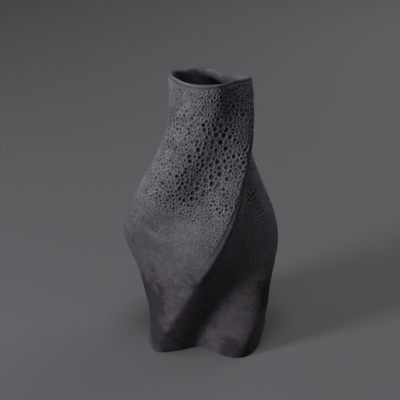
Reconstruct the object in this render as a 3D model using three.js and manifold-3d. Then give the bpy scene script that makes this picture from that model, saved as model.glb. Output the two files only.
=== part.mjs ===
// A hand-built stoneware vase. The wall has four lobes that turn about the upright axis as they rise,
// so that every ridge starts at the foot and ends more than a third of a turn further round at the lip.
// Millimetres, +Z up. The origin is on the surface the vase stands on, in the middle of its outline as
// seen from above.

import * as THREE from "three";
import { mergeVertices } from "three/addons/utils/BufferGeometryUtils.js";
import Module from "manifold-3d";

const wasm = await Module();
wasm.setup();

// ---- Driving dimensions ----

const HEIGHT = 320;
const WALL_AT_FOOT = 7;
const WALL_AT_LIP = 3.6;
const RIDGE_FILL = 3; // extra clay behind each ridge, where the inside is rounder than the outside
const FLOOR_THICKNESS = 8;
const CORNER_COIL = 10; // height and width of the clay coil pressed into the corner above the floor
const COIL_EDGE = 0.9; // thickness that the coil keeps where its hollow face runs out
const FOOT_BEVEL = 2;
const LIP_BEVEL = 1.1;
const CRATER_COAT = 1.1;
const LINER_COAT = 0.9;
const COAT_BELOW_LIP = 5; // bare strip between the crater glaze and the lip
const LINER_BELOW_LIP = 2;
const DIP_LINE_HEIGHT = 125; // where the crater glaze ends, on the axis
const DIP_LINE_RISE = 13; // degrees by which that line slants
const DIP_LINE_HIGH_SIDE = 190; // direction in which it slants up, in degrees from +X
const SEAT_GAP = 0.3;

// The section at six heights, evenly spaced from the foot to the lip.
const TURN_SHARE = [0, 0.17, 0.38, 0.56, 0.73, 1]; // how much of the whole turn is done
const RIDGE_REACH = [88, 85.5, 88.5, 73.5, 56, 47]; // from the section's centre to a ridge
const HOLLOW_REACH = [59, 69, 73, 58, 43.5, 33]; // from the section's centre to a hollow
const CENTRE_X = [0, 2, 4, 6.5, 11, 7.5]; // hand building leaves the axis a little crooked
const CENTRE_Y = [0, 1.5, 9.5, 0, 0, -6.5];

// The four lobes, in order round the foot. The angles are a ridge's directions at the foot and at the
// lip, in degrees from +X. Each list runs evenly from the foot to the lip: what is added to the reach
// of the ridge and of the hollow after it, and how soft the crest is (0.1 is crisp, 1 a broad round).
const LOBES = [
  { foot: -127, lip: -2, ridge: [-5, 1, 6], hollow: [-6, -8, -9], softness: [0.14, 0.05, 0.12] },
  { foot: -56, lip: 93, ridge: [7, -1, -8], hollow: [21, -6, 3], softness: [1, 0.5, 0.3] },
  { foot: 36, lip: 146, ridge: [5, 2, -0.5], hollow: [-5, 8, 0.5], softness: [0.5, 0.4, 0.3] },
  {
    foot: 124,
    lip: 280,
    ridge: [-18, 7.5, -9],
    hollow: [-1, -2, -4, -4.5, 5.5, 3.5],
    softness: [0.6, 0.5, 0.7],
  },
];
const INSIDE_SOFTENING = 0.3;

// ---- Fineness of the faceted solids ----

const FACETS_PER_LOBE = 12;
const RIDGE_CROWDING = 0.6; // 0 spaces the facets evenly, 1 crowds them all onto the ridges
const ROWS = 18;
const COVE_STEPS = 4;
const OVERRUN = 5; // how far a cutting solid runs past what it cuts

// ---- The section ----

// A smooth line through values that are evenly spaced over 0 to 1.
function along(values, share) {
  const points = values.map((value, index) => new THREE.Vector2(index, value));
  return new THREE.SplineCurve(points).getPoint(THREE.MathUtils.clamp(share, 0, 1)).y;
}

function wallAt(z) {
  return THREE.MathUtils.lerp(WALL_AT_FOOT, WALL_AT_LIP, THREE.MathUtils.clamp(z / HEIGHT, 0, 1));
}

function lobeAt(lobe, share) {
  const turned = along(TURN_SHARE, share);
  return {
    angle: THREE.MathUtils.degToRad(THREE.MathUtils.lerp(lobe.foot, lobe.lip, turned)),
    ridge: along(RIDGE_REACH, share) + along(lobe.ridge, share),
    hollow: along(HOLLOW_REACH, share) + along(lobe.hollow, share),
    softness: along(lobe.softness, share),
  };
}

// One closed ring of points at the height z. The outside face is at growth 0, and growth moves it out.
// The inside face is the same figure, a wall thickness smaller and with rounder ridges.
function ring(z, growth, inside) {
  const share = z / HEIGHT;
  const lobes = LOBES.map((lobe) => lobeAt(lobe, share));
  const shrink = inside ? wallAt(z) - growth : -growth;
  const fill = inside ? RIDGE_FILL : 0;
  const softening = inside ? INSIDE_SOFTENING : 0;
  const centre = new THREE.Vector2(along(CENTRE_X, share), along(CENTRE_Y, share));
  const points = [];
  lobes.forEach((from, index) => {
    const to = lobes[(index + 1) % lobes.length];
    const span = THREE.MathUtils.euclideanModulo(to.angle - from.angle, 2 * Math.PI);
    for (let step = 0; step < FACETS_PER_LOBE; step += 1) {
      const even = step / FACETS_PER_LOBE;
      const across = even - (RIDGE_CROWDING * Math.sin(2 * Math.PI * even)) / (2 * Math.PI);
      const blend = THREE.MathUtils.smoothstep(across, 0, 1);
      const softness = THREE.MathUtils.lerp(from.softness, to.softness, blend) + softening;
      const dip = Math.hypot(Math.sin(Math.PI * across), softness) - softness;
      const depth = dip / (Math.hypot(1, softness) - softness);
      const ridge = THREE.MathUtils.lerp(from.ridge, to.ridge, blend) - fill;
      const reach = THREE.MathUtils.lerp(ridge, from.hollow, depth) - shrink;
      const angle = from.angle + span * across;
      const x = centre.x + reach * Math.cos(angle);
      const y = centre.y + reach * Math.sin(angle);
      points.push(new THREE.Vector3(x, y, z));
    }
  });
  return points;
}

// ---- Solids ----

// A closed solid through a stack of rings, with a fan of triangles over the first and the last ring.
function stackSolid(rings) {
  const count = rings[0].length;
  const positions = rings.flat().flatMap((point) => point.toArray());
  const indices = [];
  for (let row = 0; row < rings.length - 1; row += 1) {
    for (let column = 0; column < count; column += 1) {
      const next = (column + 1) % count;
      const low = row * count;
      const high = low + count;
      indices.push(low + column, low + next, high + next);
      indices.push(low + column, high + next, high + column);
    }
  }
  const closeEnd = (points, first, facesUp) => {
    const middle = points.reduce((sum, point) => sum.add(point), new THREE.Vector3());
    const hub = positions.length / 3;
    positions.push(...middle.divideScalar(count).toArray());
    for (let column = 0; column < count; column += 1) {
      const next = (column + 1) % count;
      const pair = facesUp ? [first + column, first + next] : [first + next, first + column];
      indices.push(...pair, hub);
    }
  };
  closeEnd(rings[0], 0, false);
  closeEnd(rings.at(-1), (rings.length - 1) * count, true);
  const geometry = new THREE.BufferGeometry();
  geometry.setAttribute("position", new THREE.Float32BufferAttribute(positions, 3));
  geometry.setIndex(indices);
  return toManifold(geometry);
}

function toManifold(source) {
  const bare = source.clone();
  bare.deleteAttribute("normal");
  bare.deleteAttribute("uv");
  const merged = mergeVertices(bare);
  const vertProperties = new Float32Array(merged.attributes.position.array);
  const triVerts = new Uint32Array(merged.index.array);
  return new wasm.Manifold(new wasm.Mesh({ numProp: 3, vertProperties, triVerts }));
}

function toGeometry(solid) {
  const { vertProperties, triVerts } = solid.getMesh();
  const geometry = new THREE.BufferGeometry();
  geometry.setAttribute("position", new THREE.BufferAttribute(new Float32Array(vertProperties), 3));
  geometry.setIndex(new THREE.BufferAttribute(new Uint32Array(triVerts), 1));
  geometry.computeVertexNormals();
  return geometry;
}

// Everything above a plane through (0, 0, height) that rises by so many degrees towards a direction.
const REACH_OF_ALL = 4 * (Math.max(...RIDGE_REACH) + HEIGHT);

function halfSpace(height, upwards, rise = 0, towards = 0) {
  const box = new THREE.BoxGeometry(REACH_OF_ALL, REACH_OF_ALL, REACH_OF_ALL);
  box.translate(0, 0, (upwards ? REACH_OF_ALL : -REACH_OF_ALL) / 2);
  box.rotateY(-THREE.MathUtils.degToRad(rise));
  box.rotateZ(THREE.MathUtils.degToRad(towards));
  box.translate(0, 0, height);
  return toManifold(box);
}

const rowHeights = Array.from({ length: ROWS + 1 }, (_, row) => (HEIGHT * row) / ROWS);

// The outside or the inside figure, moved out by growth. An overrun carries it straight on past both ends.
function figure(inside, growth, overrun = 0) {
  const rings = rowHeights.map((z) => ring(z, growth, inside));
  if (overrun > 0) {
    rings.unshift(rings[0].map((point) => point.clone().setZ(-overrun)));
    rings.push(rings.at(-1).map((point) => point.clone().setZ(HEIGHT + overrun)));
  }
  return stackSolid(rings);
}

const floorTop = FLOOR_THICKNESS + SEAT_GAP;

// ---- body_wall: the lobed clay wall, open at the foot and at the lip, with both edges eased ----

function bodyWall() {
  const heights = rowHeights.slice(1, -1);
  const rings = [
    ring(0, -FOOT_BEVEL, false),
    ring(FOOT_BEVEL, 0, false),
    ...heights.map((z) => ring(z, 0, false)),
    ring(HEIGHT - LIP_BEVEL, 0, false),
    ring(HEIGHT, -LIP_BEVEL, false),
  ];
  return stackSolid(rings).subtract(figure(true, 0, OVERRUN));
}

// ---- base_slab: the flat clay floor, cut to the inside figure and set flush with the foot ----

function baseSlab() {
  return figure(true, -SEAT_GAP).subtract(halfSpace(FLOOR_THICKNESS, true));
}

// The hollow that is left above the floor, with a cove where the coil fills the corner.
function coveFigure(clearance) {
  const rings = [];
  for (let step = 0; step <= COVE_STEPS; step += 1) {
    const turn = (Math.PI / 2) * (step / COVE_STEPS);
    const z = floorTop + COIL_EDGE + clearance + CORNER_COIL * (1 - Math.cos(turn));
    const inset = SEAT_GAP + COIL_EDGE + clearance + CORNER_COIL * (1 - Math.sin(turn));
    rings.push(ring(z, -inset, true));
  }
  const coveTop = rings.at(-1)[0].z;
  const freeRows = rowHeights.filter((z) => z > coveTop + CORNER_COIL / 2);
  rings.push(...freeRows.map((z) => ring(z, -SEAT_GAP - clearance, true)));
  return stackSolid(rings);
}

// ---- corner_coil: the coil of clay pressed into the corner of the floor and the wall ----

function cornerCoil() {
  return figure(true, -SEAT_GAP)
    .subtract(halfSpace(floorTop, false))
    .subtract(halfSpace(floorTop + CORNER_COIL, true))
    .subtract(coveFigure(0));
}

// ---- liner_glaze: the thin smooth glaze over the whole inside ----

function linerGlaze() {
  return coveFigure(SEAT_GAP)
    .subtract(coveFigure(SEAT_GAP + LINER_COAT))
    .subtract(halfSpace(HEIGHT - LINER_BELOW_LIP, true));
}

// ---- crater_glaze: the thick blistered glaze, a sleeve from a slanting dip line to below the lip ----

function craterGlaze() {
  return figure(false, SEAT_GAP + CRATER_COAT)
    .subtract(figure(false, SEAT_GAP, OVERRUN))
    .subtract(halfSpace(HEIGHT - COAT_BELOW_LIP, true))
    .subtract(halfSpace(DIP_LINE_HEIGHT, false, DIP_LINE_RISE, DIP_LINE_HIGH_SIDE));
}

// ---- The vase ----

const PIECES = [
  { name: "body_wall", make: bodyWall, color: 0x4b464a, roughness: 0.88 },
  { name: "base_slab", make: baseSlab, color: 0x454044, roughness: 0.92 },
  { name: "corner_coil", make: cornerCoil, color: 0x494448, roughness: 0.9 },
  { name: "liner_glaze", make: linerGlaze, color: 0x4a4549, roughness: 0.6 },
  { name: "crater_glaze", make: craterGlaze, color: 0x66666b, roughness: 0.78 },
];

const vase = new THREE.Group();
for (const piece of PIECES) {
  const { color, roughness } = piece;
  const material = new THREE.MeshStandardMaterial({ color, roughness, metalness: 0 });
  const mesh = new THREE.Mesh(toGeometry(piece.make()), material);
  mesh.name = piece.name;
  vase.add(mesh);
}

// The lobes are not alike, so the middle of the outline is found from the finished solids.
const middle = new THREE.Box3().setFromObject(vase).getCenter(new THREE.Vector3());
vase.position.set(-middle.x, -middle.y, 0);

export default vase;
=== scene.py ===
import math

import bpy
import numpy as np
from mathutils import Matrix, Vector


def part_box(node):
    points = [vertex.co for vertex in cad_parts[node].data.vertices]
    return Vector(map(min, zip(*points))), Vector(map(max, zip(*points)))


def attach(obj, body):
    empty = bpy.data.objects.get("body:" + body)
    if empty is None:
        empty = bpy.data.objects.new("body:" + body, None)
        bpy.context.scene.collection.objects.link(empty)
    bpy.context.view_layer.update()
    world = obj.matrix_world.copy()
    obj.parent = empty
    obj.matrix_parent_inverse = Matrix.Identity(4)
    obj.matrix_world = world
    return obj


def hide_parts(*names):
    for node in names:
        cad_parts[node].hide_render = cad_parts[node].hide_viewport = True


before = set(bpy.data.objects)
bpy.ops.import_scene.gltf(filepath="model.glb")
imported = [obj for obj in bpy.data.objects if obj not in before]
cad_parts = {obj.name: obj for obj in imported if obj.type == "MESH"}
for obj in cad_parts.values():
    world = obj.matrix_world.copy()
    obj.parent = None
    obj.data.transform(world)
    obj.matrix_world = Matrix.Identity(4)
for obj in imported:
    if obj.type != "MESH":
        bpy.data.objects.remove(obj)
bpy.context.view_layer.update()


# ---- The clay wall -------------------------------------------------------------------------------
# A hand-built wall of dark stoneware, pinched into four lobes that turn as they rise. It is open at
# the foot and at the lip, scraped smooth below, and fired bare, so it is dry and a little smoky.

wall_low, wall_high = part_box("body_wall")
HEIGHT = wall_high.z
WALL_AT_FOOT = 0.0070
WALL_AT_LIP = 0.0036
RIDGE_FILL = 0.003  # the clay is this much thicker behind a ridge
INSIDE_SOFTENING = 0.3  # the inside's crests are softer than the outside's by this much
LIP_ROUND = 0.0013
LIP_PINCH = 0.0014  # the fingers thinned the lip by this much
LIP_PINCH_FALL = 0.020  # over this height
FOOT_ROUND = 0.0024

# The section at six heights, evenly spaced from the foot to the lip, in metres.
TURN_SHARE = [0, 0.17, 0.38, 0.56, 0.73, 1]
RIDGE_REACH = [0.088, 0.0855, 0.0885, 0.0735, 0.056, 0.047]
HOLLOW_REACH = [0.059, 0.069, 0.073, 0.058, 0.0435, 0.033]
CENTRE_X = [0, 0.002, 0.004, 0.0065, 0.011, 0.0075]
CENTRE_Y = [0, 0.0015, 0.0095, 0, 0, -0.0065]
# Each lobe: its ridge's direction at the foot and at the lip, and three lists that run from the foot
# to the lip: what is added to the reach of the ridge, what is added to the reach of the hollow after
# it, and how soft its crest is.
LOBES = [
    dict(
        foot=-127,
        lip=-2,
        ridge=[-0.005, 0.001, 0.006],
        hollow=[-0.006, -0.008, -0.009],
        soft=[0.14, 0.05, 0.12],
    ),
    dict(
        foot=-56,
        lip=93,
        ridge=[0.007, -0.001, -0.008],
        hollow=[0.021, -0.006, 0.003],
        soft=[1, 0.5, 0.3],
    ),
    dict(
        foot=36,
        lip=146,
        ridge=[0.005, 0.002, -0.0005],
        hollow=[-0.005, 0.008, 0.0005],
        soft=[0.5, 0.4, 0.3],
    ),
    dict(
        foot=124,
        lip=280,
        ridge=[-0.018, 0.0075, -0.009],
        hollow=[-0.001, -0.002, -0.004, -0.0045, 0.0055, 0.0035],
        soft=[0.6, 0.5, 0.7],
    ),
]


def along(values, share):
    """A smooth line through values that are evenly spaced over 0 to 1."""
    values = np.asarray(values, float)
    last = len(values) - 1
    place = np.clip(share, 0, 1) * last
    low = np.minimum(place.astype(int), last - 1)
    t = place - low
    before, here = values[np.maximum(low - 1, 0)], values[low]
    there, after = values[low + 1], values[np.minimum(low + 2, last)]
    lean_in, lean_out = (there - before) / 2, (after - here) / 2
    cubic = 2 * here - 2 * there + lean_in + lean_out
    square = 3 * there - 3 * here - 2 * lean_in - lean_out
    return ((cubic * t + square) * t + lean_in) * t + here


def lobed_figure(height, round_share, inside=False):
    """Where the wall's face lies. Height is in metres and round_share runs 0 to 4, a lobe at a time.

    Returns x, y, the outward x and y of the reach, how deep in a hollow the place is (0 on a ridge,
    1 in the hollow), the distance from the nearest ridge, and how soft the crest is there."""
    share = height / HEIGHT
    turned = along(TURN_SHARE, share)
    lobe_index = np.floor(round_share).astype(int) % 4
    across = round_share - np.floor(round_share)
    angle, ridge, hollow, soft = [], [], [], []
    for lobe in LOBES:
        angle.append(np.radians(lobe["foot"] + (lobe["lip"] - lobe["foot"]) * turned))
        ridge.append(along(RIDGE_REACH, share) + along(lobe["ridge"], share))
        hollow.append(along(HOLLOW_REACH, share) + along(lobe["hollow"], share))
        soft.append(along(lobe["soft"], share))
    following = (lobe_index + 1) % 4
    start = np.choose(lobe_index, angle)
    span = np.mod(np.choose(following, angle) - start, 2 * np.pi)
    blend = across * across * (3 - 2 * across)
    softness = np.choose(lobe_index, soft) * (1 - blend) + np.choose(following, soft) * blend
    softness = softness + (INSIDE_SOFTENING if inside else 0)
    dip = np.hypot(np.sin(np.pi * across), softness) - softness
    depth = dip / (np.hypot(1, softness) - softness)
    crest = np.choose(lobe_index, ridge) * (1 - blend) + np.choose(following, ridge) * blend
    crest = crest - (RIDGE_FILL if inside else 0)
    reach = crest + (np.choose(lobe_index, hollow) - crest) * depth
    if inside:
        wall = WALL_AT_FOOT + (WALL_AT_LIP - WALL_AT_FOOT) * share
        pinch = LIP_PINCH * np.clip((height - HEIGHT + LIP_PINCH_FALL) / LIP_PINCH_FALL, 0, 1)
        reach = reach - wall + pinch
    direction = start + span * across
    out_x, out_y = np.cos(direction), np.sin(direction)
    x = along(CENTRE_X, share) + reach * out_x
    y = along(CENTRE_Y, share) + reach * out_y
    from_ridge = np.minimum(across, 1 - across) * span * reach
    return x, y, out_x, out_y, depth, from_ridge, softness


# The lobes are not alike, so the figure is moved until its footprint's middle is the frame's.
probe_z, probe_round = np.meshgrid(np.linspace(0, HEIGHT, 81), np.linspace(0, 4, 480), indexing="ij")
probe_x, probe_y, *_ = lobed_figure(probe_z, probe_round)
SHIFT_X = (wall_low.x + wall_high.x - probe_x.min() - probe_x.max()) / 2
SHIFT_Y = (wall_low.y + wall_high.y - probe_y.min() - probe_y.max()) / 2


def hand_ripple(points, wavelength, seed, waves=24):
    """A soft irregular field of about -1 to 1, the same at the same place."""
    dice = np.random.default_rng(seed)
    headings = dice.normal(size=(waves, 3))
    headings /= np.linalg.norm(headings, axis=1)[:, None]
    stretch = dice.uniform(0.7, 1.4, waves) * 2 * np.pi / wavelength
    phases = dice.uniform(0, 2 * np.pi, waves)
    total = np.zeros(points.shape[:-1])
    for heading, rate, phase in zip(headings, stretch, phases):
        total += np.sin(points @ heading * rate + phase)
    return total / math.sqrt(waves)


PADDLE_WIDTH, PADDLE_DEPTH = 0.055, 0.00045
FINGER_WIDTH, FINGER_DEPTH = 0.018, 0.00013


def hand_marks(points):
    """How far the maker's hands left the outside face from the true figure, in metres."""
    broad = hand_ripple(points, PADDLE_WIDTH, seed=3) * PADDLE_DEPTH
    finger = hand_ripple(points, FINGER_WIDTH, seed=5) * FINGER_DEPTH
    return broad + finger


def outside_face(height, round_share):
    """Points on the wall's outside face, with hand marks, and what the glaze needs to know there."""
    x, y, out_x, out_y, depth, from_ridge, softness = lobed_figure(height, round_share)
    points = np.stack([x + SHIFT_X, y + SHIFT_Y, height], axis=-1)
    outward = np.stack([out_x, out_y, np.zeros_like(out_x)], axis=-1)
    return points + outward * hand_marks(points)[..., None], outward, depth, from_ridge, softness


def inside_face(height, round_share):
    """Points on the wall's inside face, and which way is outward there."""
    x, y, out_x, out_y, *_ = lobed_figure(height, round_share, inside=True)
    points = np.stack([x + SHIFT_X, y + SHIFT_Y, height], axis=-1)
    return points, np.stack([out_x, out_y, np.zeros_like(out_x)], axis=-1)


def woven_mesh(name, points, material, ring_closed=False, masks=None):
    """A mesh over a grid of points, where each row is a closed ring round the vase. ring_closed also
    joins the last row to the first. Each mask is a value per point, for the material to read."""
    rows, columns = points.shape[:2]
    row_ids = np.arange(rows if ring_closed else rows - 1)
    low, left = np.meshgrid(row_ids, np.arange(columns), indexing="ij")
    high, right = (low + 1) % rows, (left + 1) % columns
    corners = [low * columns + left, low * columns + right, high * columns + right, high * columns + left]
    quads = np.stack(corners, axis=-1).reshape(-1)
    mesh = bpy.data.meshes.new(name)
    mesh.vertices.add(rows * columns)
    mesh.vertices.foreach_set("co", points.reshape(-1).astype(np.float32))
    mesh.loops.add(len(quads))
    mesh.loops.foreach_set("vertex_index", quads.astype(np.int32))
    mesh.polygons.add(len(quads) // 4)
    mesh.polygons.foreach_set("loop_start", np.arange(0, len(quads), 4, dtype=np.int32))
    mesh.polygons.foreach_set("use_smooth", np.ones(len(quads) // 4, dtype=bool))
    layout = mesh.uv_layers.new(name="OFBake")
    around = np.stack([left, left + 1, left + 1, left], axis=-1) / columns
    upward = np.stack([low, low, low + 1, low + 1], axis=-1) / len(row_ids)
    layout.data.foreach_set("uv", np.stack([around, upward], axis=-1).reshape(-1).astype(np.float32))
    for mask_name, values in (masks or {}).items():
        mask = mesh.attributes.new(mask_name, "FLOAT", "POINT")
        mask.data.foreach_set("value", values.reshape(-1).astype(np.float32))
    mesh.update(calc_edges=True)
    mesh.validate()
    mesh.materials.append(material)
    piece = bpy.data.objects.new(name, mesh)
    bpy.context.scene.collection.objects.link(piece)
    return piece


def plain_material(name):
    """A new node material; returns it, its tree and its shader."""
    material = bpy.data.materials.new(name)
    material.use_nodes = True
    tree = material.node_tree
    shader = tree.nodes["Principled BSDF"]
    return material, tree, shader


def add_node(tree, kind, settings=None, **inputs):
    """Adds a node, sets its settings, and sets or links its inputs by name, or by number as i0, i1."""
    node = tree.nodes.new(kind)
    for key, value in (settings or {}).items():
        setattr(node, key, value)
    for key, value in inputs.items():
        socket = node.inputs[int(key[1:])] if key[0] == "i" and key[1:].isdigit() else node.inputs[key]
        if isinstance(value, bpy.types.NodeSocket):
            tree.links.new(value, socket)
        else:
            socket.default_value = value
    return node


def two_tone(tree, factor, dark, light, low=0.0, high=1.0):
    """A colour that goes from dark to light as the factor goes from low to high."""
    ramp = tree.nodes.new("ShaderNodeValToRGB")
    ramp.color_ramp.elements[0].position = low
    ramp.color_ramp.elements[0].color = (*dark, 1)
    ramp.color_ramp.elements[1].position = high
    ramp.color_ramp.elements[1].color = (*light, 1)
    tree.links.new(factor, ramp.inputs["Fac"])
    return ramp.outputs["Color"]


def mixed(tree, factor, first, second, how="MIX"):
    """Two colours mixed by the factor."""
    mix = tree.nodes.new("ShaderNodeMix")
    mix.data_type = "RGBA"
    mix.blend_type = how
    for socket, value in ((mix.inputs[0], factor), (mix.inputs[6], first), (mix.inputs[7], second)):
        if isinstance(value, bpy.types.NodeSocket):
            tree.links.new(value, socket)
        else:
            socket.default_value = value if isinstance(value, (int, float)) else (*value, 1)
    return mix.outputs[2]


def reckoned(tree, operation, first, second=0.0, clamp=False):
    """One sum, product or the like of two numbers."""
    node = tree.nodes.new("ShaderNodeMath")
    node.operation = operation
    node.use_clamp = clamp
    for socket, value in ((node.inputs[0], first), (node.inputs[1], second)):
        if isinstance(value, bpy.types.NodeSocket):
            tree.links.new(value, socket)
        else:
            socket.default_value = value
    return node.outputs[0]


def noise_at(tree, where, scale, detail=3.0, roughness=0.55, distortion=0.0):
    node = add_node(tree, "ShaderNodeTexNoise", Scale=scale, Detail=detail, Roughness=roughness)
    node.inputs["Distortion"].default_value = distortion
    tree.links.new(where, node.inputs["Vector"])
    return node.outputs["Fac"]


def new_group(name, takes, gives):
    """A reusable set of shader nodes. Returns its tree, its input node and its output node."""
    group = bpy.data.node_groups.new(name, "ShaderNodeTree")
    for title, kind, value in takes:
        socket = group.interface.new_socket(title, in_out="INPUT", socket_type=kind)
        if value is not None:
            socket.default_value = value
    for title, kind in gives:
        group.interface.new_socket(title, in_out="OUTPUT", socket_type=kind)
    return group, group.nodes.new("NodeGroupInput"), group.nodes.new("NodeGroupOutput")


def use_group(tree, group, place):
    node = tree.nodes.new("ShaderNodeGroup")
    node.node_tree = group
    tree.links.new(place, node.inputs["Place"])
    return node


DIP_LINE_HEIGHT = 0.125  # about the middle of the crater glaze's fading lower edge, on the axis
DIP_LINE_SLOPE = math.tan(math.radians(13))  # how steeply that edge slants up to its high side
DIP_LINE_HIGH_SIDE = math.radians(190)

# The fired clay's look, shared by the wall and by the glaze where it thins out over the clay.
clay_look, given, result = new_group(
    "fired_clay",
    [("Place", "NodeSocketVector", None), ("Glaze Dust", "NodeSocketFloat", 1.0)],
    [("Color", "NodeSocketColor"), ("Roughness", "NodeSocketFloat"), ("Height", "NodeSocketFloat")],
)
place = given.outputs["Place"]
split = add_node(clay_look, "ShaderNodeSeparateXYZ", Vector=place)
lean_x = reckoned(clay_look, "MULTIPLY", split.outputs["X"], -DIP_LINE_SLOPE * math.cos(DIP_LINE_HIGH_SIDE))
lean_y = reckoned(clay_look, "MULTIPLY", split.outputs["Y"], -DIP_LINE_SLOPE * math.sin(DIP_LINE_HIGH_SIDE))
level = reckoned(clay_look, "ADD", reckoned(clay_look, "ADD", lean_x, lean_y), split.outputs["Z"])
clouds = noise_at(clay_look, place, 17, detail=5, roughness=0.6, distortion=0.5)
brush_place = add_node(clay_look, "ShaderNodeMapping", Vector=place)
brush_place.inputs["Scale"].default_value = (30, 30, 42)
brushed = noise_at(clay_look, brush_place.outputs["Vector"], 1.0, detail=7, roughness=0.72, distortion=0.4)
scrape_place = add_node(clay_look, "ShaderNodeMapping", Vector=place)
scrape_place.inputs["Scale"].default_value = (30, 30, 900)
scraped = noise_at(clay_look, scrape_place.outputs["Vector"], 1.0, detail=4, roughness=0.65)
grain = noise_at(clay_look, place, 700, detail=5, roughness=0.75)
# Sprayed glaze dust greys the clay from a hand's width below the dip line up to the lip.
dust_level = reckoned(clay_look, "ADD", level, reckoned(clay_look, "MULTIPLY", clouds, 0.050))
dust = add_node(clay_look, "ShaderNodeMapRange", {"interpolation_type": "SMOOTHSTEP"}, Value=dust_level)
dust.inputs["From Min"].default_value = 0.062
dust.inputs["From Max"].default_value = 0.150
dust = reckoned(clay_look, "MULTIPLY", dust.outputs["Result"], given.outputs["Glaze Dust"])
bare = two_tone(clay_look, clouds, (0.060, 0.052, 0.062), (0.098, 0.086, 0.101), 0.32, 0.68)
colour = mixed(clay_look, dust, bare, (0.108, 0.102, 0.118))
# A little iron shows as a brown blush, and mottling follows where the wall was wiped.
blush = add_node(clay_look, "ShaderNodeMapRange", {"interpolation_type": "SMOOTHSTEP"})
clay_look.links.new(noise_at(clay_look, place, 31, detail=4, roughness=0.6), blush.inputs["Value"])
blush.inputs["From Min"].default_value = 0.52
blush.inputs["From Max"].default_value = 0.66
blush = reckoned(clay_look, "MULTIPLY", blush.outputs["Result"], 0.24)
colour = mixed(clay_look, blush, colour, (0.085, 0.062, 0.066))
mottle = noise_at(clay_look, place, 110, detail=5, roughness=0.7)
mottle_tone = two_tone(clay_look, mottle, (0.86,) * 3, (1.14,) * 3, 0.34, 0.66)
colour = mixed(clay_look, 1.0, colour, mottle_tone, "MULTIPLY")
# Carbon from the fire settled in brushed patches low down: where each sits, and how far it reaches.
soot = 0.0
for centre, reach in (
    ((-0.058, -0.044, 0.052), 0.042),
    ((-0.050, -0.074, 0.020), 0.028),
    ((0.078, -0.055, 0.060), 0.027),
    ((0.040, -0.078, 0.006), 0.024),
    ((0.050, 0.078, 0.040), 0.050),
    ((-0.060, 0.045, 0.030), 0.045),
):
    apart = add_node(clay_look, "ShaderNodeVectorMath", {"operation": "DISTANCE"}, i0=place, i1=centre)
    nearness = add_node(clay_look, "ShaderNodeMapRange", Value=apart.outputs["Value"])
    nearness.inputs["From Min"].default_value = reach
    nearness.inputs["From Max"].default_value = 0.0
    soot = reckoned(clay_look, "MAXIMUM", nearness.outputs["Result"], soot)
streaky = reckoned(clay_look, "ADD", reckoned(clay_look, "MULTIPLY", soot, 0.34), brushed)
sooty = add_node(clay_look, "ShaderNodeMapRange", {"interpolation_type": "SMOOTHSTEP"}, Value=streaky)
sooty.inputs["From Min"].default_value = 0.52
sooty.inputs["From Max"].default_value = 0.72
soot = reckoned(clay_look, "MULTIPLY", sooty.outputs["Result"], 0.80)
colour = mixed(clay_look, soot, colour, (0.022, 0.019, 0.026))
scrape_tone = two_tone(clay_look, scraped, (0.80,) * 3, (1.20,) * 3, 0.32, 0.68)
colour = mixed(clay_look, 1.0, colour, scrape_tone, "MULTIPLY")
grain_tone = two_tone(clay_look, grain, (0.60,) * 3, (1.45,) * 3, 0.34, 0.66)
colour = mixed(clay_look, 1.0, colour, grain_tone, "MULTIPLY")
# Handling and wiping leave the lip a little paler; the paler band is also a painted highlight for the light
# on the lip's top face.
lip = add_node(clay_look, "ShaderNodeMapRange", {"interpolation_type": "SMOOTHSTEP"})
clay_look.links.new(split.outputs["Z"], lip.inputs["Value"])
lip.inputs["From Min"].default_value = HEIGHT - 0.0035
lip.inputs["From Max"].default_value = HEIGHT - 0.0008
wiped_and_lit = reckoned(clay_look, "MULTIPLY", lip.outputs["Result"], 0.70)
colour = mixed(clay_look, wiped_and_lit, colour, (0.27, 0.25, 0.29))
clay_look.links.new(colour, result.inputs["Color"])
rough = add_node(clay_look, "ShaderNodeMapRange", Value=clouds)
rough.inputs["To Min"].default_value = 0.74
rough.inputs["To Max"].default_value = 0.95
clay_look.links.new(rough.outputs["Result"], result.inputs["Roughness"])
grain_part = reckoned(clay_look, "MULTIPLY", grain, 0.5)
scrape_part = reckoned(clay_look, "MULTIPLY", scraped, 0.25)
clay_look.links.new(reckoned(clay_look, "ADD", grain_part, scrape_part), result.inputs["Height"])

clay_material, tree, shader = plain_material("bare_stoneware")
clay = use_group(tree, clay_look, add_node(tree, "ShaderNodeTexCoord").outputs["Object"])
tree.links.new(clay.outputs["Color"], shader.inputs["Base Color"])
tree.links.new(clay.outputs["Roughness"], shader.inputs["Roughness"])
bump = add_node(tree, "ShaderNodeBump", Strength=0.35, Distance=0.0006, Height=clay.outputs["Height"])
tree.links.new(bump.outputs["Normal"], shader.inputs["Normal"])
shader.inputs["Specular IOR Level"].default_value = 0.3


def smooth_step(value, low, high):
    """0 at low and 1 at high, with an eased start and end."""
    t = np.clip((value - low) / (high - low), 0, 1)
    return t * t * (3 - 2 * t)


GLAZE_FADE = 0.036  # the height over which the glaze grows from nothing to its full thickness
GLAZE_RUN = 0.020  # how far below the dip line it begins
CREST_STRIP = 0.0080  # low down, the glaze drew back this far from a crisp crest
STRIP_NARROWING = 0.62  # the share of that which is gone higher up
NARROWING_FROM, NARROWING_TO = 0.12, 0.23
GLAZE_BITE = 0.0014  # how far the thick glaze has eaten into the clay
COAT_BELOW_LIP = 0.0025
LIP_FADE = 0.004  # over this height the glaze thickens again below the wiped lip


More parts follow.
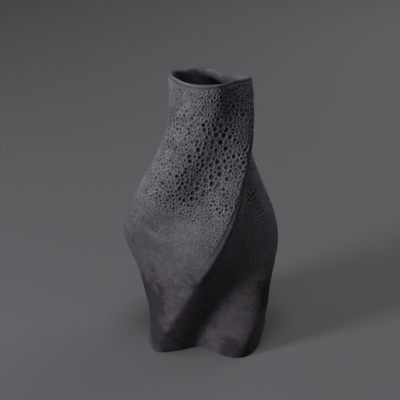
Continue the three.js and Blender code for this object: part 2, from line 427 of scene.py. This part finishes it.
def glaze_fullness(points, from_ridge, softness):
    """How thick the crater glaze lies at a place: 0 is bare, 1 is the full coat."""
    lean = points[..., 0] * math.cos(DIP_LINE_HIGH_SIDE) + points[..., 1] * math.sin(DIP_LINE_HIGH_SIDE)
    above = points[..., 2] - DIP_LINE_HEIGHT - DIP_LINE_SLOPE * lean
    ragged = 0.004 * hand_ripple(points, 0.040, seed=11) + 0.0015 * hand_ripple(points, 0.007, seed=12)
    grown = smooth_step(above + ragged, -GLAZE_RUN, GLAZE_FADE - GLAZE_RUN)
    narrowing = 1 - STRIP_NARROWING * smooth_step(points[..., 2], NARROWING_FROM, NARROWING_TO)
    strip = np.clip(CREST_STRIP - 0.060 * (softness - 0.1), 0.0, CREST_STRIP) * narrowing
    on_crest = 1 - smooth_step(from_ridge, strip * 0.35, strip * 1.3 + 1e-5)
    below_lip = smooth_step(HEIGHT - points[..., 2], COAT_BELOW_LIP, COAT_BELOW_LIP + LIP_FADE)
    return grown * (1 - 0.92 * on_crest) * below_lip


WALL_COLUMNS = 640
outer_rows, foot_steps, lip_steps, inner_rows = 220, 6, 10, 60
profile = []  # height, share of the way from the outside face to the inside face, inset
for step in range(foot_steps):
    turn = math.pi / 2 * step / foot_steps
    profile.append((FOOT_ROUND * (1 - math.cos(turn)), 0.0, FOOT_ROUND * (1 - math.sin(turn))))
for step in range(outer_rows + 1):
    profile.append((FOOT_ROUND + (HEIGHT - LIP_ROUND - FOOT_ROUND) * step / outer_rows, 0.0, 0.0))
for step in range(1, lip_steps):
    turn = math.pi * step / lip_steps
    profile.append((HEIGHT - LIP_ROUND + LIP_ROUND * math.sin(turn), (1 - math.cos(turn)) / 2, 0.0))
for step in range(inner_rows + 1):
    profile.append(((HEIGHT - LIP_ROUND) * (1 - step / inner_rows), 1.0, 0.0))
profile = np.array(profile)
ring_share = np.arange(WALL_COLUMNS) * 4 / WALL_COLUMNS
heights, shares = np.meshgrid(profile[:, 0], ring_share, indexing="ij")
outer_points, outward, depth, from_ridge, softness = outside_face(heights, shares)
inner_points, _ = inside_face(heights, shares)
bitten = GLAZE_BITE * glaze_fullness(outer_points, from_ridge, softness)
outer_points = outer_points - outward * (bitten + profile[:, 2][:, None])[..., None]
blend = profile[:, 1][:, None, None]
wall_points = outer_points * (1 - blend) + inner_points * blend
wall = woven_mesh("wall", wall_points, clay_material, ring_closed=True)
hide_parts("body_wall")
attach(wall, "root")


# ---- The crater glaze ----------------------------------------------------------------------------
# A thick dry grey glaze that boiled in the kiln. Its bubbles burst into craters that are widest where
# the glaze pooled, and it thins out to nothing along a slanting line where the vase was dipped.

COAT = 0.0012
UNDER_CLAY = 0.0003  # the coat's thinned edges end this far inside the clay
COAT_TUCK = 0.010  # and the coat starts this far below the place where the glaze begins
FINE_CRATER = 0.0009  # the widest crater's radius where the glaze is thin
POOLED_CRATER = 0.0020  # and how much is added to it where the glaze pooled
SMALLEST_CRATER = 0.00055
CRATER_SPACING = 0.97  # how near two craters may come, as a share of their two radii
NEIGHBOURHOOD = 0.0066  # no two craters that touch are farther apart than this

coat_columns, coat_rows = ((920, 400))
coat_share = np.arange(coat_columns) * 4 / coat_columns


def dip_line(round_share):
    """The height of the glaze's lower edge, found by stepping down to the slanting plane."""
    height = np.full_like(round_share, DIP_LINE_HEIGHT)
    for _ in range(6):
        x, y, *_ = lobed_figure(height, round_share)
        lean = (x + SHIFT_X) * math.cos(DIP_LINE_HIGH_SIDE) + (y + SHIFT_Y) * math.sin(DIP_LINE_HIGH_SIDE)
        height = DIP_LINE_HEIGHT + DIP_LINE_SLOPE * lean
    return height


edge = dip_line(coat_share) - GLAZE_RUN - COAT_TUCK
top = HEIGHT - COAT_BELOW_LIP
coat_heights = edge[None, :] + (top - edge)[None, :] * np.linspace(0, 1, coat_rows)[:, None]
coat_shares = np.broadcast_to(coat_share[None, :], coat_heights.shape)
base_points, coat_outward, depth, from_ridge, softness = outside_face(coat_heights, coat_shares)
fullness = glaze_fullness(base_points, from_ridge, softness)

# Craters: the wide ones take their places first, and each keeps its distance from those before it.
dice = np.random.default_rng(29)
drift = hand_ripple(base_points, 0.040, seed=197)
patch = hand_ripple(base_points, 0.014, seed=22)
above_edge = coat_heights - edge[None, :]
pooled = smooth_step(above_edge, 0.044, 0.096) * (1 - 0.45 * smooth_step(coat_heights, 0.275, 0.312))
patchy = np.clip(1 + 0.45 * drift + 0.30 * patch, 0.2, 1.35)
widest = FINE_CRATER + POOLED_CRATER * pooled * (0.62 + 0.38 * depth) * patchy
cell_width = np.linalg.norm(np.roll(base_points, -1, axis=1) - base_points, axis=-1)
cell_height = np.gradient(coat_heights, axis=0)
chance = (cell_width * cell_height * (fullness > 0.2)).reshape(-1)
tries = 90000
seats = dice.choice(chance.size, size=tries, p=chance / chance.sum())
radii = widest.reshape(-1)[seats] * (0.26 + 0.74 * dice.uniform(0, 1, tries) ** 2.2)
radii = np.maximum(radii, SMALLEST_CRATER)
order = np.argsort(-radii, kind="stable")
seats, radii = seats[order], radii[order]
spots = base_points.reshape(-1, 3)[seats]
blocks = np.floor(spots / NEIGHBOURHOOD).astype(int)
near_by = [(a, b, c) for a in (-1, 0, 1) for b in (-1, 0, 1) for c in (-1, 0, 1)]
taken = {}
kept = []
for index, (spot, radius, block) in enumerate(zip(spots.tolist(), radii.tolist(), blocks.tolist())):
    clear = True
    for a, b, c in near_by:
        for x, y, z, other in taken.get((block[0] + a, block[1] + b, block[2] + c), ()):
            gap = (radius + other) * CRATER_SPACING
            if (spot[0] - x) ** 2 + (spot[1] - y) ** 2 + (spot[2] - z) ** 2 < gap * gap:
                clear = False
                break
        if not clear:
            break
    if clear:
        taken.setdefault(tuple(block), []).append((*spot, radius))
        kept.append(index)

# This mask marks the crater bowls, where painted shade goes into the glaze colour.
crater_shade_mask = np.zeros_like(coat_heights)
# This mask marks the crater banks, where a painted highlight goes into the glaze colour.
rim_highlight_mask = np.zeros_like(coat_heights)
bowls = np.zeros_like(coat_heights)
banks = np.zeros_like(coat_heights)
deepness = dice.uniform(0.30, 1.0, tries)
for index in kept:
    radius = radii[index]
    row, column = divmod(seats[index], coat_columns)
    reach_rows = int(radius * 1.6 / cell_height[row, column]) + 2
    reach_columns = int(radius * 1.6 / cell_width[row, column]) + 2
    row_window = np.arange(max(row - reach_rows, 0), min(row + reach_rows + 1, coat_rows))
    column_window = np.arange(column - reach_columns, column + reach_columns + 1) % coat_columns
    window = np.ix_(row_window, column_window)
    offset = base_points[window] - base_points[row, column]
    # An uneven bowl: its edge wanders a little in and out.
    swing = np.sin(offset @ np.array([900.0, 700.0, 1100.0]) + index)
    distance = np.linalg.norm(offset, axis=-1) / (radius * (1 + 0.07 * swing))
    bowl = np.clip(1 - distance**2, 0, 1) ** 0.6
    bank_width = max(0.15, 0.00032 / radius)
    bank = np.exp(-(((distance - 1.03) / bank_width) ** 2))
    bowls[window] = np.maximum(bowls[window], min(0.85 * radius, 0.0021) * deepness[index] * bowl)
    banks[window] = np.maximum(banks[window], 0.17 * min(radius, 0.002) * bank)
    crater_shade_mask[window] = np.maximum(crater_shade_mask[window], deepness[index] * np.clip(1.4 * bowl, 0, 1))
    rim_highlight_mask[window] = np.maximum(rim_highlight_mask[window], bank * np.clip(radius / 0.0015, 0.4, 1))

crust = hand_ripple(base_points, 0.0030, seed=13, waves=48) * 0.00013
crumbs = hand_ripple(base_points, 0.0016, seed=14, waves=48) * 0.00008
lift = (UNDER_CLAY + COAT + crust + crumbs - bowls + banks) * fullness - UNDER_CLAY
coat_points = base_points + coat_outward * lift[..., None]

glaze_material, tree, shader = plain_material("crater_glaze")
place = add_node(tree, "ShaderNodeTexCoord").outputs["Object"]
crater_shade_here = add_node(tree, "ShaderNodeAttribute", {"attribute_name": "hollow"}).outputs["Fac"]
rim_highlight_here = add_node(tree, "ShaderNodeAttribute", {"attribute_name": "rim_highlight"}).outputs["Fac"]
full_here = add_node(tree, "ShaderNodeAttribute", {"attribute_name": "fullness"}).outputs["Fac"]
blotch = noise_at(tree, place, 55, detail=4, roughness=0.6)
speckle = noise_at(tree, place, 620, detail=4, roughness=0.75)
pinholes = add_node(tree, "ShaderNodeTexVoronoi", Vector=place, Scale=620.0, Randomness=1.0)
pinholes = pinholes.outputs["Distance"]
tone = two_tone(tree, blotch, (0.106, 0.102, 0.121), (0.166, 0.162, 0.190), 0.35, 0.65)
tone = mixed(tree, 1.0, tone, two_tone(tree, speckle, (0.36,) * 3, (2.0,) * 3, 0.36, 0.64), "MULTIPLY")
tone = mixed(tree, 1.0, tone, two_tone(tree, pinholes, (0.40,) * 3, (1.25,) * 3, 0.12, 0.50), "MULTIPLY")
# Painted highlight: the crater banks are painted pale, more in some patches than in others.
pale = add_node(tree, "ShaderNodeMapRange", Value=noise_at(tree, place, 75, detail=3))
pale.inputs["From Min"].default_value = 0.38
pale.inputs["From Max"].default_value = 0.64
pale.inputs["To Min"].default_value = 0.35
pale.inputs["To Max"].default_value = 0.95
tone = mixed(tree, reckoned(tree, "MULTIPLY", rim_highlight_here, pale.outputs["Result"]), tone, (0.42, 0.41, 0.46))
# Painted shade: the crater bowls are painted nearly black.
tone = mixed(tree, reckoned(tree, "MULTIPLY", crater_shade_here, 0.90, clamp=True), tone, (0.030, 0.028, 0.037))
rusty = add_node(tree, "ShaderNodeMapRange", Value=noise_at(tree, place, 240, detail=2))
rusty.inputs["From Min"].default_value = 0.69
rusty.inputs["From Max"].default_value = 0.75
tone = mixed(tree, reckoned(tree, "MULTIPLY", rusty.outputs["Result"], 0.6), tone, (0.150, 0.085, 0.070))
# The glaze colour is made darker deep in each lobe's hollow, over the upper part of the coat.
valley_dark_here = add_node(tree, "ShaderNodeAttribute", {"attribute_name": "valley_dark"}).outputs["Fac"]
tone = mixed(tree, reckoned(tree, "MULTIPLY", valley_dark_here, 0.42), tone, (0.030, 0.028, 0.034))
thin_here = add_node(tree, "ShaderNodeAttribute", {"attribute_name": "thin"}).outputs["Fac"]
tone = mixed(tree, reckoned(tree, "MULTIPLY", thin_here, 0.32), tone, (0.062, 0.058, 0.070))
clay = use_group(tree, clay_look, place)
coverage = add_node(tree, "ShaderNodeMapRange", {"interpolation_type": "SMOOTHSTEP"}, Value=full_here)
coverage.inputs["From Min"].default_value = 0.05
coverage.inputs["From Max"].default_value = 0.70
coverage = coverage.outputs["Result"]
tone = mixed(tree, coverage, clay.outputs["Color"], tone)
tree.links.new(tone, shader.inputs["Base Color"])
tree.links.new(two_tone(tree, speckle, (0.60,) * 3, (0.88,) * 3), shader.inputs["Roughness"])
pin_part = reckoned(tree, "MULTIPLY", pinholes, 0.9)
pitted = reckoned(tree, "ADD", pin_part, reckoned(tree, "MULTIPLY", speckle, 0.8))
pitted = reckoned(tree, "MULTIPLY", pitted, coverage)
relief = reckoned(tree, "ADD", pitted, reckoned(tree, "MULTIPLY", clay.outputs["Height"], 0.3))
bump = add_node(tree, "ShaderNodeBump", Strength=0.7, Distance=0.0008, Height=relief)
tree.links.new(bump.outputs["Normal"], shader.inputs["Normal"])
shader.inputs["Specular IOR Level"].default_value = 0.35

# The hollow mask carries painted shade into the crater bowls, and the rim mask carries a painted highlight
# onto their banks.
masks = {"hollow": crater_shade_mask * fullness, "rim_highlight": rim_highlight_mask * fullness, "fullness": fullness}
masks["valley_dark"] = pooled * smooth_step(depth, 0.45, 1.0)
masks["thin"] = 1 - smooth_step(above_edge, 0.034, 0.082)
coat = woven_mesh("crater_coat", coat_points, glaze_material, masks=masks)
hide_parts("crater_glaze")
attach(coat, "root")


# ---- The liner glaze -----------------------------------------------------------------------------
# A thin smooth satin glaze poured round the inside, so that the vase holds water. It stops just
# short of the lip, and rounds off the corner above the floor.

_, floor_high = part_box("base_slab")
FLOOR_TOP = floor_high.z + 0.0018  # the liner's top face over the floor slab
LINER = 0.0009
CORNER = 0.010  # the radius of the rounded corner above the floor
LINER_TOP = HEIGHT - 0.0022

liner_material, tree, shader = plain_material("liner_glaze")
place = add_node(tree, "ShaderNodeTexCoord").outputs["Object"]
haze = noise_at(tree, place, 22, detail=4)
fleck = noise_at(tree, place, 700, detail=2)
tone = two_tone(tree, haze, (0.200, 0.182, 0.226), (0.275, 0.250, 0.308), 0.35, 0.65)
tone = mixed(tree, 1.0, tone, two_tone(tree, fleck, (0.85,) * 3, (1.12,) * 3, 0.35, 0.65), "MULTIPLY")
tree.links.new(tone, shader.inputs["Base Color"])
tree.links.new(two_tone(tree, haze, (0.5,) * 3, (0.68,) * 3), shader.inputs["Roughness"])
bump = add_node(tree, "ShaderNodeBump", Strength=0.15, Distance=0.0004, Height=fleck)
tree.links.new(bump.outputs["Normal"], shader.inputs["Normal"])

liner_share = np.arange(280) * 4 / 280
liner_rows = []
for step in range(9):
    turn = math.pi / 2 * step / 8
    liner_rows.append((FLOOR_TOP + CORNER * (1 - math.cos(turn)), LINER + CORNER * (1 - math.sin(turn))))
for z in np.linspace(FLOOR_TOP + CORNER + 0.004, LINER_TOP, 90):
    liner_rows.append((z, LINER * (1 - 0.75 * np.clip((z - LINER_TOP + 0.03) / 0.03, 0, 1))))
liner_rows += [(LINER_TOP + 0.0004, LINER * 0.12), (LINER_TOP + 0.0005, 0.0)]
liner_rows = np.array(liner_rows)
heights, shares = np.meshgrid(liner_rows[:, 0], liner_share, indexing="ij")
liner_points, outward = inside_face(heights, shares)
liner_points = liner_points - outward * liner_rows[:, 1][:, None, None]
middle = liner_points[0].mean(axis=0)
closing = middle + (liner_points[0] - middle) * np.linspace(0.002, 0.95, 12)[:, None, None]
liner = woven_mesh("liner", np.concatenate([closing, liner_points])[:, ::-1], liner_material)
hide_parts("liner_glaze")
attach(liner, "root")


# ---- The floor slab and the corner coil ----------------------------------------------------------
# A rolled slab of the same clay, cut to the wall's inside and luted in, with a coil of soft clay
# pressed into the corner above it. Both stay as they were modelled and take the bare clay's finish.

for node in ("base_slab", "corner_coil"):
    piece = bpy.data.objects[node]
    piece.data.materials.clear()
    piece.data.materials.append(clay_material)


# ---- The table, the light and the camera ---------------------------------------------------------

floor_mesh = bpy.data.meshes.new("floor")
floor_mesh.from_pydata([(-5, -5, 0), (5, -5, 0), (5, 5, 0), (-5, 5, 0)], [], [(0, 1, 2, 3)])
floor_material, tree, shader = plain_material("floor")
shader.inputs["Base Color"].default_value = (0.300, 0.294, 0.318, 1)
shader.inputs["Roughness"].default_value = 0.9
floor_mesh.materials.append(floor_material)
floor = bpy.data.objects.new("floor", floor_mesh)
bpy.context.scene.collection.objects.link(floor)


def soft_light(name, place, target, width, power, colour=(1, 1, 1)):
    lamp = bpy.data.lights.new(name, "AREA")
    lamp.shape = "SQUARE"
    lamp.size = width
    lamp.energy = power
    lamp.color = colour
    light = bpy.data.objects.new(name, lamp)
    light.location = place
    light.rotation_mode = "QUATERNION"
    light.rotation_quaternion = (Vector(target) - Vector(place)).to_track_quat("-Z", "Y")
    bpy.context.scene.collection.objects.link(light)


soft_light("window", (-1.88, -1.09, 0.52), (0, 0, 0.15), 0.55, 30)
soft_light("ceiling", (0, -0.38, 2.32), (0, 0, 0.15), 1.0, 8)
soft_light("far_wall", (1.35, 1.35, 1.20), (0, 0, 0.15), 1.2, 6)
soft_light("backdrop", (0.7, 2.1, 1.3), (0.5, 1.9, 0), 1.4, 2.6)
world = bpy.data.worlds.new("room")
world.use_nodes = True
world.node_tree.nodes["Background"].inputs["Color"].default_value = (1, 1, 1, 1)
world.node_tree.nodes["Background"].inputs["Strength"].default_value = 0.02
bpy.context.scene.world = world
bpy.context.scene.view_settings.view_transform = "Standard"

CAMERA_RISE = math.radians(22.2)
CAMERA_BACK = 1.417
middle = Vector((SHIFT_X, SHIFT_Y, HEIGHT / 2))
camera_data = bpy.data.cameras.new("camera")
camera_data.sensor_width = 36
camera_data.lens = 108
camera = bpy.data.objects.new("camera", camera_data)
bpy.context.scene.collection.objects.link(camera)
camera.location = middle + CAMERA_BACK * Vector((0, -math.cos(CAMERA_RISE), math.sin(CAMERA_RISE)))
up = Vector((0, math.sin(CAMERA_RISE), math.cos(CAMERA_RISE)))
aim = middle + Vector((0.0017, 0, 0)) + up * 0.0066
camera.rotation_mode = "QUATERNION"
camera.rotation_quaternion = (aim - camera.location).to_track_quat("-Z", "Y")
bpy.context.scene.camera = camera
